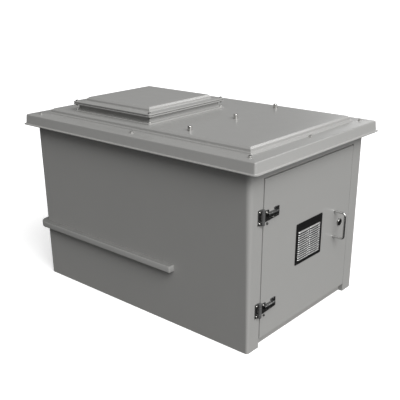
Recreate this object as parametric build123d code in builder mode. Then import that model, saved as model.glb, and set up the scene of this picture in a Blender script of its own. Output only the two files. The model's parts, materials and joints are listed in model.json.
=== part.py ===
from build123d import *
from math import atan, cos, degrees, radians, sin, sqrt, tan
import os

os.makedirs("parts", exist_ok=True)

# Body moulding: outer size at the ground, widening upwards by the draft
body_length = 1200.0
body_draft = 0.9
body_corner_r = 10.0
inner_corner_r = 2.0
wall = 6.0
rim_flange_w = 46.0
foot_flange_w = 50.0
flange_t = 6.0

# Door, its recess and the doorway behind it, measured up the front face
door_width = 640.0
door_height = 654.0
door_bottom = 38.0
door_header = 83.0
door_side = 75.0
door_gap = 4.0
door_proud = 2.0
door_depth = 17.0
door_skin = 5.0
door_rim_w = 24.0
door_corner_r = 4.0
door_edge = 1.2
recess_depth = 20.0
frame_lap = 22.0
seal_inset = 3.0
seal_w = 14.0
running_gap = 0.3

# Lid: lip, sloping skirt, brim, ledge and raised platform
lip_overhang_x = 53.0
lip_overhang_y = 41.0
lip_drop = 37.0
lip_t = 4.0
lip_w = 9.0
lip_corner_r = 20.0
skirt_slope = 5.0
lid_wall = 5.0
lid_edge_r = 5.0
gasket_t = 4.0
platform_inset = 94.0
platform_h = 24.0
platform_corner_r = 12.0
platform_bevel_w = 10.0
platform_bevel_h = 7.0
ledge_w = 7.0
ledge_h = 7.0
ledge_slope = 5.0
seam_x = 176.0
seam_w = 5.0
seam_h = 1.2

# Lid, roof and hatch fasteners
bolt_r = 5.0
bolt_hole_gap = 0.5
bolt_head_flat = 15.0
bolt_head_h = 6.5
nut_h = 8.0
washer_r = 10.0
washer_t = 2.0
thread_gap = 0.05
bolt_tail = 5.0
lid_bolt_edge = 16.0
lid_bolt_r = 3.5
lid_head_flat = 11.0
lid_head_h = 6.0
lid_nut_h = 6.0
lid_washer_r = 7.0
lid_washer_t = 1.5
roof_bolt_x = 225.0
roof_bolt_pitch = 290.0
roof_stud_tail = 7.0
batten_w = 44.0
batten_t = 18.0
batten_end_gap = 14.0

# Hatch: a curb with two flanges, a gasket and a raised cover
hatch_x = -205.0
hatch_y = -82.0
hatch_flange_t = 5.0
curb_outer = 424.0
hatch_ledge = 29.0
curb_h = 36.0
curb_wall = 5.0
throat_lip = 6.0
hatch_corner_r = 8.0
hatch_gasket_w = 3.0
hatch_gasket_t = 3.0
cover_base = 396.0
cover_rise = 17.0
cover_slope = 32.0
cover_wall = 4.0
cover_hollow_inset = 18.0
hatch_bolt_edge = 13.0
hatch_bolt_r = 3.0
hatch_head_flat = 10.0
hatch_head_h = 4.0
hatch_nut_h = 5.0
hatch_washer_r = 6.0
hatch_washer_t = 1.2
hatch_tail = 2.0

# Rubbing band round the sides and the back
band_z = 243.0
band_h = 30.0
band_t = 29.0
band_front_x = 225.0
band_edge_r = 6.0

# Hinges: the pin stands on the post, beside the door gap
hinge_top_margin = 142.0
hinge_foot_margin = 131.0
hinge_h = 60.0
pin_offset = 12.0
knuckle_r = 7.0
knuckle_end_h = 16.0
knuckle_lift = 0.5
pin_r = 3.5
pin_run_gap = 0.05
pin_cap_r = 5.0
pin_cap_h = 2.0
leaf_t = 4.0
leaf_start = 8.0
frame_leaf_w = 14.0

# Door leaf: a strap with a notched top edge, a square end and a raised bar
leaf_high = 20.0
leaf_low = 24.0
leaf_shoulder = 28.0
strap_low = 19.0
notch_start = 42.0
notch_end = 77.0
notch_high = 9.0
door_leaf_reach = 108.0
bar_start = 34.0
bar_end = 95.0
bar_high = 9.0
bar_low = 8.0
bar_rise = 11.0

# Hinge screws and the buffer under each door leaf
leaf_screw_r = 2.2
leaf_screw_head_r = 4.2
leaf_screw_head_h = 2.4
leaf_screw_pitch = 44.0
leaf_screw_length = 12.0
inner_screw_u = 26.0
inner_screw_rise = 12.0
outer_screw_u = 67.0
outer_screw_drop = 14.5
buffer_u = 34.0
buffer_drop = 34.0
buffer_r = 5.0
buffer_h = 5.0
screw_gap = 0.2

# Vent grille and the mesh behind it
vent_width = 192.0
vent_height = 177.0
vent_drop = 4.0
vent_plate_t = 2.5
vent_corner_r = 5.0
vent_rows = 13
vent_pitch_v = 10.7
vent_slot_w = 76.0
vent_slot_h = 3.6
vent_slot_u = 41.5
vent_field_v = -5.0
louvre_h = 6.5
louvre_out = 5.0
vent_aperture_w = 166.0
vent_aperture_h = 150.0
mesh_border = 8.0
mesh_t = 1.0
vent_screw_edge = 6.5
vent_screw_r = 2.0
vent_screw_head_r = 3.6
vent_screw_head_h = 1.8
vent_screw_length = 9.0

# Pull handle
handle_edge = 120.0
handle_rise = 3.0
handle_centres = 116.0
handle_bar_r = 5.0
handle_reach = 50.0
handle_bend_r = 14.0
handle_foot_r = 8.5
handle_foot_t = 3.0
handle_screw_r = 2.5
handle_screw_head_r = 6.0
handle_screw_head_h = 3.0
handle_screw_bite = 14.0

# Quarter-turn lock with its cam hanging down when unlocked
lock_edge = 80.0
lock_rise = 1.0
lock_face_r = 16.0
lock_face_t = 8.0
lock_bevel = 2.0
lock_body_r = 11.0
lock_body_back = 14.0
lock_nut_r = 17.0
lock_nut_t = 5.0
plug_r = 8.0
key_slot_w = 2.0
key_slot_h = 9.0
key_slot_depth = 6.0
cam_length = 74.0
cam_w = 14.0
cam_t = 3.0
cam_gap = 0.6
cam_screw_r = 2.5
cam_screw_head_r = 6.0
cam_screw_head_h = 3.5
strike_w = 14.0
strike_h = 60.0
strike_t = 1.5

# Mounting board on two battens at the back wall
board_width = 600.0
board_height = 620.0
board_bottom = 70.0
board_t = 12.0
board_batten_w = 60.0
board_batten_t = 22.0
board_batten_u = 220.0
board_screw_rows = 3
board_screw_margin = 60.0
board_screw_r = 2.5
board_screw_head_r = 5.0
board_screw_head_h = 3.0

# Ground fixings through the foot flange
foot_hole_r = 7.0
foot_hole_edge = 30.0

# Sizes that follow from the driving ones
body_width = door_width + 2 * door_side
hatch_flange = curb_outer + 2 * hatch_ledge
draft_rate = tan(radians(body_draft))
lean_sin = sin(radians(body_draft))
lean_cos = cos(radians(body_draft))
door_mid_v = door_bottom + door_height / 2
door_top_v = door_bottom + door_height
body_height = door_top_v + door_header
lip_z = body_height - lip_drop
hinge_levels = {"upper": door_top_v - hinge_top_margin, "lower": door_bottom + hinge_foot_margin}
vent_v = door_mid_v - vent_drop
handle_u = door_width / 2 - handle_edge
handle_v = door_mid_v + handle_rise
lock_u = door_width / 2 - lock_edge
lock_v = door_mid_v + lock_rise
door_back_w = door_proud - door_depth
frame_back_w = -recess_depth - wall
brim_z = body_height + gasket_t + lid_wall
brim_under_z = body_height + gasket_t
roof_z = brim_z + platform_h
roof_under_z = roof_z - lid_wall
lip_length = body_length + 2 * (lip_z * draft_rate + lip_overhang_x)
lip_width = body_width + 2 * (lip_z * draft_rate + lip_overhang_y)
platform_length = lip_length - 2 * platform_inset
platform_width = lip_width - 2 * platform_inset
curb_top_z = roof_z + curb_h
throat_w = curb_outer - 2 * (curb_wall + throat_lip)
hatch_seat_z = curb_top_z + hatch_gasket_t
cover_top_z = hatch_seat_z + hatch_flange_t + cover_rise
hatch_bolt_half = hatch_flange / 2 - hatch_bolt_edge
bolt_head_r = bolt_head_flat / sqrt(3)
lid_head_r = lid_head_flat / sqrt(3)
hatch_head_r = hatch_head_flat / sqrt(3)
pin_u = -door_width / 2 - door_gap / 2 - pin_offset
pin_w = door_proud + knuckle_r + knuckle_lift
lid_bolt_x = body_length / 2 + body_height * draft_rate - lid_bolt_edge
lid_bolt_y = body_width / 2 + body_height * draft_rate - lid_bolt_edge

board_screw_pitch = (board_height - 2 * board_screw_margin) / (board_screw_rows - 1)

# The front and back faces lean outwards with the draft
front_plane = Plane(
    origin=(body_length / 2, 0, 0), x_dir=(0, 1, 0), z_dir=(lean_cos, 0, -lean_sin)
)
back_plane = Plane(
    origin=(-body_length / 2, 0, 0), x_dir=(0, -1, 0), z_dir=(-lean_cos, 0, -lean_sin)
)


def body_outline(height, inset, mode=Mode.ADD):
    """Draw the body's drafted outline at a height, moved in by an inset."""
    RectangleRounded(
        body_length + 2 * (height * draft_rate - inset),
        body_width + 2 * (height * draft_rate - inset),
        max(body_corner_r + height * draft_rate - inset, inner_corner_r),
        mode=mode,
    )


def finish(sub_part, label):
    """Name one finished piece and write its file."""
    sub_part.part.label = label
    export_step(sub_part.part, f"parts/{label}.step")


def hex_bolt(shank_r, length, head_r, head_h):
    """A hexagon bolt with its head's seat at the origin and its shank down."""
    with BuildPart() as bolt:
        with BuildSketch():
            RegularPolygon(head_r, 6)
        extrude(amount=head_h)
        with BuildSketch():
            Circle(shank_r)
        extrude(amount=-length)
    return bolt.part


def hex_nut(bore_r, head_r, height):
    """A hexagon nut that hangs down from the origin."""
    with BuildPart() as nut:
        with BuildSketch():
            RegularPolygon(head_r, 6)
            Circle(bore_r, mode=Mode.SUBTRACT)
        extrude(amount=-height)
    return nut.part


def plain_washer(bore_r, outer_r, thickness):
    """A flat washer that stands up from the origin."""
    with BuildPart() as washer:
        with BuildSketch():
            Circle(outer_r)
            Circle(bore_r, mode=Mode.SUBTRACT)
        extrude(amount=thickness)
    return washer.part


def pan_screw(shank_r, length, head_r, head_h):
    """A domed screw with its head's seat at the origin and its shank down."""
    with BuildPart() as screw:
        with BuildSketch():
            Circle(head_r)
        extrude(amount=head_h)
        fillet(screw.edges().sort_by(Axis.Z)[-1], head_h * 0.6)
        with BuildSketch():
            Circle(shank_r)
        extrude(amount=-length)
    return screw.part


def front_spots(places, w):
    """Locations on the front face at (u, v) places, w out of the face."""
    return Locations(*[front_plane.offset(w).location * Location((u, v, 0)) for u, v in places])


lid_bolt_places = [(x, y) for x in (-lid_bolt_x, 0, lid_bolt_x) for y in (-lid_bolt_y, 0, lid_bolt_y)]
lid_bolt_places = [place for place in lid_bolt_places if place != (0, 0)]
roof_bolt_places = [(roof_bolt_x, step * roof_bolt_pitch) for step in (-1, 0, 1)]
hatch_bolt_places = [
    (hatch_x + sx * hatch_bolt_half, hatch_y + sy * hatch_bolt_half) for sx in (-1, 1) for sy in (-1, 1)
]
foot_hole_x = body_length / 2 - wall - foot_hole_edge
foot_hole_y = body_width / 2 - wall - foot_hole_edge

# Places on the front face, as (across, up) pairs
vent_screw_places = [
    (su * (vent_width / 2 - vent_screw_edge), vent_v + sv * (vent_height / 2 - vent_screw_edge))
    for su in (-1, 1)
    for sv in (-1, 1)
]
handle_places = [(handle_u, handle_v + side * handle_centres / 2) for side in (-1, 1)]
frame_screw_u = pin_u - leaf_start - frame_leaf_w / 2
frame_screw_places = [
    (frame_screw_u, v + side * leaf_screw_pitch / 2) for v in hinge_levels.values() for side in (-1, 1)
]
inner_screw_places = [(pin_u + inner_screw_u, v + inner_screw_rise) for v in hinge_levels.values()]
outer_screw_places = [(pin_u + outer_screw_u, v - outer_screw_drop) for v in hinge_levels.values()]
door_screw_places = inner_screw_places + outer_screw_places
buffer_places = [(pin_u + buffer_u, v - buffer_drop) for v in hinge_levels.values()]

# Body shell: drafted tub with a recessed door frame, a rim flange and a foot flange
with BuildPart() as body_shell:
    with BuildSketch():
        body_outline(0, 0)
    extrude(amount=body_height, taper=-body_draft)
    with BuildSketch(Plane.XY.offset(flange_t)):
        body_outline(flange_t, wall)
    extrude(amount=body_height - 2 * flange_t, taper=-body_draft, mode=Mode.SUBTRACT)
    with BuildSketch(Plane.XY.offset(body_height - flange_t)):
        body_outline(body_height, wall + rim_flange_w)
    extrude(amount=flange_t, mode=Mode.SUBTRACT)
    with BuildSketch():
        body_outline(0, wall + foot_flange_w)
    extrude(amount=flange_t, mode=Mode.SUBTRACT)
    with BuildSketch(front_plane.offset(frame_back_w)):
        with Locations((0, (door_top_v - door_bottom) / 2)):
            Rectangle(
                door_width + 2 * (door_gap + wall),
                door_top_v + door_bottom + 2 * (door_gap + wall),
            )
    extrude(amount=-frame_back_w - wall / 2)
    with BuildSketch(front_plane.offset(-recess_depth)):
        with Locations((0, (door_top_v - door_bottom) / 2)):
            Rectangle(door_width + 2 * door_gap, door_top_v + door_bottom + 2 * door_gap)
    extrude(amount=2 * recess_depth, mode=Mode.SUBTRACT)
    with BuildSketch(front_plane.offset(-recess_depth)):
        with Locations((0, door_mid_v)):
            RectangleRounded(door_width - 2 * frame_lap, door_height - 2 * frame_lap, frame_lap)
    extrude(amount=-2 * recess_depth, mode=Mode.SUBTRACT)
    with BuildSketch(front_plane):
        with Locations(*frame_screw_places):
            Circle(leaf_screw_r + screw_gap)
    extrude(amount=-2 * wall, mode=Mode.SUBTRACT)
    split(bisect_by=Plane.XY, keep=Keep.TOP)
    with Locations(*[(x, y, body_height) for x, y in lid_bolt_places]):
        Hole(lid_bolt_r + bolt_hole_gap, depth=2 * flange_t)
    with Locations((0, 0, flange_t)):
        with GridLocations(2 * foot_hole_x, 2 * foot_hole_y, 2, 2):
            Hole(foot_hole_r, depth=2 * flange_t)
finish(body_shell, "body_shell")

# Rubbing band: one square moulding along both sides and round the back
with BuildPart() as wall_band:
    with BuildSketch(Plane.XY.offset(band_z)):
        body_outline(band_z, -band_t)
    extrude(amount=band_h, taper=-body_draft)
    fillet(wall_band.faces().sort_by(Axis.Z)[-1].edges(), band_edge_r)
    fillet(wall_band.faces().sort_by(Axis.Z)[0].edges(), band_edge_r)
    with BuildSketch(Plane.XY.offset(band_z)):
        body_outline(band_z, 0)
    extrude(amount=band_h, taper=-body_draft, mode=Mode.SUBTRACT)
    split(bisect_by=Plane.YZ.offset(band_front_x), keep=Keep.BOTTOM)
finish(wall_band, "wall_band")

# Lid gasket on the rim flange
with BuildPart() as lid_gasket:
    with BuildSketch(Plane.XY.offset(body_height)):
        body_outline(body_height, wall)
        body_outline(body_height, wall + rim_flange_w, mode=Mode.SUBTRACT)
        with Locations(*lid_bolt_places):
            Circle(lid_bolt_r + bolt_hole_gap, mode=Mode.SUBTRACT)
    extrude(amount=gasket_t)
finish(lid_gasket, "lid_gasket")

# Roof lid: lip, sloping skirt, brim, ledge and raised platform, hollow below
skirt_h = brim_z - lip_z
with BuildPart() as roof_lid:
    with BuildSketch(Plane.XY.offset(lip_z)):
        RectangleRounded(lip_length - 2 * lip_w, lip_width - 2 * lip_w, lip_corner_r - lip_w)
    extrude(amount=skirt_h, taper=skirt_slope)
    fillet(roof_lid.faces().sort_by(Axis.Z)[-1].edges(), lid_edge_r)
    with BuildSketch(Plane.XY.offset(lip_z)):
        RectangleRounded(lip_length, lip_width, lip_corner_r)
    extrude(amount=lip_t)
    with BuildSketch(Plane.XY.offset(brim_z)):
        RectangleRounded(
            platform_length + 2 * ledge_w, platform_width + 2 * ledge_w, platform_corner_r + ledge_w
        )
    extrude(amount=ledge_h, taper=ledge_slope)
    with BuildSketch(Plane.XY.offset(brim_z)):
        RectangleRounded(platform_length, platform_width, platform_corner_r)
    extrude(amount=platform_h - platform_bevel_h)
    with BuildSketch(Plane.XY.offset(roof_z - platform_bevel_h)):
        RectangleRounded(platform_length, platform_width, platform_corner_r)
    extrude(amount=platform_bevel_h, taper=degrees(atan(platform_bevel_w / platform_bevel_h)))
    with BuildSketch(Plane.XY.offset(lip_z)):
        RectangleRounded(
            lip_length - 2 * (lip_w + lid_wall),
            lip_width - 2 * (lip_w + lid_wall),
            lip_corner_r - lip_w - lid_wall,
        )
    extrude(amount=skirt_h - lid_wall, taper=skirt_slope, mode=Mode.SUBTRACT)
    with BuildSketch(Plane.XY.offset(brim_under_z)):
        RectangleRounded(
            platform_length - 2 * lid_wall, platform_width - 2 * lid_wall, platform_corner_r - lid_wall
        )
    extrude(amount=platform_h, mode=Mode.SUBTRACT)
    with BuildSketch(Plane.XY.offset(roof_z)):
        with Locations((seam_x, 0)):
            Rectangle(seam_w, platform_width - 4 * platform_bevel_w)
    extrude(amount=seam_h)
    with BuildSketch(Plane.XY.offset(roof_under_z)):
        with Locations((hatch_x, hatch_y)):
            RectangleRounded(throat_w, throat_w, throat_lip)
    extrude(amount=lid_wall, mode=Mode.SUBTRACT)
    with Locations(*[(x, y, brim_z) for x, y in lid_bolt_places]):
        Hole(lid_bolt_r + bolt_hole_gap, depth=2 * lid_wall)
    with Locations(*[(x, y, roof_z) for x, y in roof_bolt_places]):
        Hole(bolt_r + bolt_hole_gap, depth=2 * lid_wall)
    with Locations(*[(x, y, roof_z) for x, y in hatch_bolt_places]):
        Hole(hatch_bolt_r + bolt_hole_gap, depth=2 * lid_wall)
finish(roof_lid, "roof_lid")

# Lid bolts, washers and nuts through the brim and the rim flange
lid_bolt_length = lid_washer_t + lid_wall + gasket_t + flange_t + lid_nut_h + bolt_tail
lid_bolt = hex_bolt(lid_bolt_r, lid_bolt_length, lid_head_r, lid_head_h)
with BuildPart() as lid_bolts:
    with Locations(*[(x, y, brim_z + lid_washer_t) for x, y in lid_bolt_places]):
        add(lid_bolt)
finish(lid_bolts, "lid_bolts")

with BuildPart() as lid_washers:
    with Locations(*[(x, y, brim_z) for x, y in lid_bolt_places]):
        add(plain_washer(lid_bolt_r + bolt_hole_gap, lid_washer_r, lid_washer_t))
finish(lid_washers, "lid_washers")

with BuildPart() as lid_nuts:
    with Locations(*[(x, y, body_height - flange_t) for x, y in lid_bolt_places]):
        add(hex_nut(lid_bolt_r + thread_gap, lid_head_r, lid_nut_h))
finish(lid_nuts, "lid_nuts")

# Cross batten under the roof, clamped by three studs
batten_length = platform_width - 2 * (lid_wall + batten_end_gap)
with BuildPart() as roof_batten:
    with BuildSketch(Plane.XY.offset(roof_under_z - batten_t)):
        with Locations((roof_bolt_x, 0)):
            Rectangle(batten_w, batten_length)
        with Locations(*roof_bolt_places):
            Circle(bolt_r + bolt_hole_gap, mode=Mode.SUBTRACT)
    extrude(amount=batten_t)
finish(roof_batten, "roof_batten")

# Roof studs: hexagon heads under the batten, nuts and washers on the roof
stud_seat_z = roof_under_z - batten_t
stud_length = batten_t + lid_wall + washer_t + nut_h + roof_stud_tail
with BuildPart() as roof_studs:
    with Locations(*[Location((x, y, stud_seat_z), (180, 0, 0)) for x, y in roof_bolt_places]):
        add(hex_bolt(bolt_r, stud_length, bolt_head_r, bolt_head_h))
finish(roof_studs, "roof_studs")

with BuildPart() as roof_washers:
    with Locations(*[(x, y, roof_z) for x, y in roof_bolt_places]):
        add(plain_washer(bolt_r + bolt_hole_gap, washer_r, washer_t))
finish(roof_washers, "roof_washers")

with BuildPart() as roof_nuts:
    with Locations(*[(x, y, roof_z + washer_t + nut_h) for x, y in roof_bolt_places]):
        add(hex_nut(bolt_r + thread_gap, bolt_head_r, nut_h))
finish(roof_nuts, "roof_nuts")

# Hatch curb: base flange, square upstand and top flange
with BuildPart() as hatch_curb:
    with BuildSketch(Plane.XY.offset(roof_z)):
        with Locations((hatch_x, hatch_y)):
            RectangleRounded(hatch_flange, hatch_flange, hatch_corner_r)
    extrude(amount=hatch_flange_t)
    with BuildSketch(Plane.XY.offset(roof_z)):
        with Locations((hatch_x, hatch_y)):
            RectangleRounded(curb_outer, curb_outer, hatch_corner_r)
    extrude(amount=curb_h)
    with BuildSketch(Plane.XY.offset(curb_top_z - hatch_flange_t)):
        with Locations((hatch_x, hatch_y)):
            RectangleRounded(hatch_flange, hatch_flange, hatch_corner_r)
    extrude(amount=hatch_flange_t)
    with BuildSketch(Plane.XY.offset(roof_z)):
        with Locations((hatch_x, hatch_y)):
            RectangleRounded(
                curb_outer - 2 * curb_wall, curb_outer - 2 * curb_wall, hatch_corner_r - curb_wall
            )
    extrude(amount=curb_h, mode=Mode.SUBTRACT)
    with Locations(*[(x, y, curb_top_z) for x, y in hatch_bolt_places]):
        Hole(hatch_bolt_r + bolt_hole_gap, depth=2 * curb_h)
finish(hatch_curb, "hatch_curb")

with BuildPart() as hatch_gasket:
    with BuildSketch(Plane.XY.offset(curb_top_z)):
        with Locations((hatch_x, hatch_y)):
            Rectangle(curb_outer + 2 * hatch_gasket_w, curb_outer + 2 * hatch_gasket_w)
            Rectangle(curb_outer - 2 * curb_wall, curb_outer - 2 * curb_wall, mode=Mode.SUBTRACT)
    extrude(amount=hatch_gasket_t)
finish(hatch_gasket, "hatch_gasket")

# Hatch cover: flange and raised square top, hollow below
with BuildPart() as hatch_cover:
    with BuildSketch(Plane.XY.offset(hatch_seat_z)):
        with Locations((hatch_x, hatch_y)):
            RectangleRounded(hatch_flange, hatch_flange, hatch_corner_r)
    extrude(amount=hatch_flange_t)
    with BuildSketch(Plane.XY.offset(hatch_seat_z)):
        with Locations((hatch_x, hatch_y)):
            RectangleRounded(cover_base, cover_base, hatch_corner_r)
    extrude(amount=hatch_flange_t + cover_rise, taper=cover_slope)
    with BuildSketch(Plane.XY.offset(hatch_seat_z)):
        with Locations((hatch_x, hatch_y)):
            RectangleRounded(
                cover_base - 2 * cover_hollow_inset, cover_base - 2 * cover_hollow_inset, hatch_corner_r
            )
    extrude(amount=hatch_flange_t + cover_rise - cover_wall, mode=Mode.SUBTRACT)
    with Locations(*[(x, y, hatch_seat_z + hatch_flange_t) for x, y in hatch_bolt_places]):
        Hole(hatch_bolt_r + bolt_hole_gap, depth=2 * hatch_flange_t)
finish(hatch_cover, "hatch_cover")

# Hatch cover bolts down to nuts under the curb's top flange
cover_bolt_length = hatch_washer_t + 2 * hatch_flange_t + hatch_gasket_t + hatch_nut_h + hatch_tail
hatch_washer = plain_washer(hatch_bolt_r + bolt_hole_gap, hatch_washer_r, hatch_washer_t)
hatch_nut = hex_nut(hatch_bolt_r + thread_gap, hatch_head_r, hatch_nut_h)
with BuildPart() as cover_bolts:
    with Locations(*[(x, y, hatch_seat_z + hatch_flange_t + hatch_washer_t) for x, y in hatch_bolt_places]):
        add(hex_bolt(hatch_bolt_r, cover_bolt_length, hatch_head_r, hatch_head_h))
finish(cover_bolts, "cover_bolts")

with BuildPart() as cover_washers:
    with Locations(*[(x, y, hatch_seat_z + hatch_flange_t) for x, y in hatch_bolt_places]):
        add(hatch_washer)
finish(cover_washers, "cover_washers")

with BuildPart() as cover_nuts:
    with Locations(*[(x, y, curb_top_z - hatch_flange_t) for x, y in hatch_bolt_places]):
        add(hatch_nut)
finish(cover_nuts, "cover_nuts")

# Curb bolts through the base flange to nuts under the roof
curb_bolt_length = hatch_washer_t + hatch_flange_t + lid_wall + hatch_nut_h + hatch_tail
with BuildPart() as curb_bolts:
    with Locations(*[(x, y, roof_z + hatch_flange_t + hatch_washer_t) for x, y in hatch_bolt_places]):
        add(hex_bolt(hatch_bolt_r, curb_bolt_length, hatch_head_r, hatch_head_h))
finish(curb_bolts, "curb_bolts")

with BuildPart() as curb_washers:
    with Locations(*[(x, y, roof_z + hatch_flange_t) for x, y in hatch_bolt_places]):
        add(hatch_washer)
finish(curb_washers, "curb_washers")

with BuildPart() as curb_nuts:
    with Locations(*[(x, y, roof_under_z) for x, y in hatch_bolt_places]):
        add(hatch_nut)
finish(curb_nuts, "curb_nuts")

# Door: a moulded tray with a rim at its back
with BuildPart() as door_panel:
    with BuildSketch(front_plane.offset(door_back_w)):
        with Locations((0, door_mid_v)):
            RectangleRounded(door_width, door_height, door_corner_r)
    extrude(amount=door_depth)
    chamfer(door_panel.faces().sort_by(Axis.X)[-1].edges(), door_edge)
    with BuildSketch(front_plane.offset(door_back_w)):
        with Locations((0, door_mid_v)):
            RectangleRounded(
                door_width - 2 * door_rim_w, door_height - 2 * door_rim_w, door_corner_r
            )
    extrude(amount=door_depth - door_skin, mode=Mode.SUBTRACT)
    with BuildSketch(front_plane.offset(door_back_w)):
        with Locations((0, vent_v + vent_field_v)):
            Rectangle(vent_aperture_w, vent_aperture_h)
        with Locations((lock_u, lock_v)):
            Circle(lock_body_r + screw_gap)
        with Locations(*handle_places):
            Circle(handle_screw_r + screw_gap)
        with Locations(*door_screw_places, *buffer_places):
            Circle(leaf_screw_r + screw_gap)
        with Locations(*vent_screw_places):
            Circle(vent_screw_r + screw_gap)
    extrude(amount=2 * door_depth, mode=Mode.SUBTRACT)
finish(door_panel, "door_panel")

# Door seal on the rim, just clear of the frame
with BuildPart() as door_seal:
    with BuildSketch(front_plane.offset(running_gap - recess_depth)):
        with Locations((0, door_mid_v)):
            Rectangle(door_width - 2 * seal_inset, door_height - 2 * seal_inset)
            Rectangle(
                door_width - 2 * (seal_inset + seal_w),
                door_height - 2 * (seal_inset + seal_w),
                mode=Mode.SUBTRACT,
            )
    extrude(amount=recess_depth + door_back_w - running_gap)
finish(door_seal, "door_seal")


def knuckle_plane(v):
    """The plane across the hinge axis at a height up the front face."""
    return Plane(
        origin=front_plane.from_local_coords((pin_u, v, pin_w)),
        x_dir=front_plane.x_dir,
        z_dir=front_plane.y_dir,
    )


def knuckle(low_v, high_v, bore_r):
    """One hinge knuckle between two heights up the front face."""
    with BuildPart() as ring:
        with BuildSketch(knuckle_plane(low_v)):
            Circle(knuckle_r)
            Circle(bore_r, mode=Mode.SUBTRACT)
        extrude(amount=high_v - low_v)
    return ring.part


# Hinges: a leaf on the frame, an armed leaf on the door and a fixed pin
for level, hinge_v in hinge_levels.items():
    low_v = hinge_v - hinge_h / 2
    high_v = hinge_v + hinge_h / 2
    with BuildPart() as frame_leaf:
        with BuildSketch(front_plane):
            with Locations((pin_u - leaf_start - frame_leaf_w / 2, hinge_v)):
                Rectangle(frame_leaf_w, hinge_h)
            with Locations(
                (pin_u - knuckle_r, low_v + knuckle_end_h / 2),
                (pin_u - knuckle_r, high_v - knuckle_end_h / 2),
            ):
                Rectangle(2 * (knuckle_r - pin_r), knuckle_end_h)
            with Locations(*[place for place in frame_screw_places if low_v < place[1] < high_v]):
                Circle(leaf_screw_r + screw_gap, mode=Mode.SUBTRACT)
        extrude(amount=leaf_t)
        add(knuckle(low_v, low_v + knuckle_end_h, pin_r))
        add(knuckle(high_v - knuckle_end_h, high_v, pin_r))
    finish(frame_leaf, f"frame_leaf_{level}")

    with BuildPart() as door_leaf:
        with BuildSketch(front_plane.offset(door_proud)):
            with BuildLine():
                Polyline(
                    (pin_u + leaf_start, hinge_v - leaf_low),
                    (pin_u + leaf_shoulder, hinge_v - leaf_low),
                    (pin_u + door_leaf_reach, hinge_v - strap_low),
                    (pin_u + door_leaf_reach, hinge_v + leaf_high),
                    (pin_u + notch_end, hinge_v + leaf_high),
                    (pin_u + notch_end, hinge_v + notch_high),
                    (pin_u + notch_start, hinge_v + notch_high),
                    (pin_u + notch_start, hinge_v + leaf_high),
                    (pin_u + leaf_start, hinge_v + leaf_high),
                    close=True,
                )
            make_face()
            with Locations((pin_u + knuckle_r, hinge_v)):
                Rectangle(2 * (knuckle_r - pin_r), hinge_h - 2 * (knuckle_end_h + running_gap))
        extrude(amount=leaf_t)
        with BuildSketch(front_plane.offset(door_proud + leaf_t)):
            with Locations((pin_u + bar_start, hinge_v - bar_low)):
                Rectangle(bar_end - bar_start, bar_high + bar_low, align=(Align.MIN, Align.MIN))
        extrude(amount=bar_rise)
        with BuildSketch(front_plane.offset(door_proud)):
            with Locations(*[place for place in door_screw_places if low_v < place[1] < high_v]):
                Circle(leaf_screw_r + screw_gap)
        extrude(amount=leaf_t, mode=Mode.SUBTRACT)
        run_low_v = low_v + knuckle_end_h + running_gap
        run_high_v = high_v - knuckle_end_h - running_gap
        add(knuckle(run_low_v, run_high_v, pin_r + pin_run_gap))
    finish(door_leaf, f"door_leaf_{level}")

    with BuildPart() as hinge_pin:
        with BuildSketch(knuckle_plane(low_v)):
            Circle(pin_r)
        extrude(amount=hinge_h)
        with BuildSketch(knuckle_plane(high_v)):
            Circle(pin_cap_r)
        extrude(amount=pin_cap_h)
        with BuildSketch(knuckle_plane(low_v)):
            Circle(pin_cap_r)
        extrude(amount=-pin_cap_h)
    finish(hinge_pin, f"hinge_pin_{level}")

leaf_screw = pan_screw(leaf_screw_r, leaf_screw_length, leaf_screw_head_r, leaf_screw_head_h)
with BuildPart() as frame_leaf_screws:
    with front_spots(frame_screw_places, leaf_t):
        add(leaf_screw)
finish(frame_leaf_screws, "frame_leaf_screws")

with BuildPart() as door_leaf_screws:
    with front_spots(door_screw_places, door_proud + leaf_t):
        add(leaf_screw)
finish(door_leaf_screws, "door_leaf_screws")

with BuildPart() as hinge_buffers:
    with front_spots(buffer_places, door_proud):
        add(pan_screw(leaf_screw_r, leaf_screw_length, buffer_r, buffer_h))
finish(hinge_buffers, "hinge_buffers")

# Vent grille: a plate with two columns of hooded louvres
with BuildPart() as vent_grille:
    with BuildSketch(front_plane.offset(door_proud)):
        with Locations((0, vent_v)):
            RectangleRounded(vent_width, vent_height, vent_corner_r)
        with Locations(*vent_screw_places):
            Circle(vent_screw_r + screw_gap, mode=Mode.SUBTRACT)
        with Locations((0, vent_v + vent_field_v)):
            with GridLocations(2 * vent_slot_u, vent_pitch_v, 2, vent_rows):
                Rectangle(vent_slot_w, vent_slot_h, mode=Mode.SUBTRACT)
    extrude(amount=vent_plate_t)
    hood_plane = Plane(
        origin=front_plane.from_local_coords((-vent_slot_w / 2, 0, door_proud)),
        x_dir=front_plane.y_dir,
        z_dir=front_plane.x_dir,
    )
    hood_low_v = vent_v + vent_field_v - (vent_rows - 1) * vent_pitch_v / 2 + vent_slot_h / 2
    for side in (-1, 1):
        with BuildSketch(hood_plane.offset(side * vent_slot_u)):
            for row in range(vent_rows):
                hood_v = hood_low_v + row * vent_pitch_v
                with BuildLine():
                    Polyline(
                        (hood_v, vent_plate_t / 2),
                        (hood_v - vent_slot_h / 2, vent_plate_t + louvre_out),
                        (hood_v + louvre_h, vent_plate_t / 2),
                        close=True,
                    )
                make_face()
        extrude(amount=vent_slot_w)
finish(vent_grille, "vent_grille")

with BuildPart() as insect_mesh:
    with BuildSketch(front_plane.offset(door_proud - door_skin - mesh_t)):
        with Locations((0, vent_v + vent_field_v)):
            Rectangle(vent_aperture_w + 2 * mesh_border, vent_aperture_h + 2 * mesh_border)
        with Locations(*vent_screw_places):
            Circle(vent_screw_r + screw_gap, mode=Mode.SUBTRACT)
    extrude(amount=mesh_t)
finish(insect_mesh, "insect_mesh")

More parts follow.
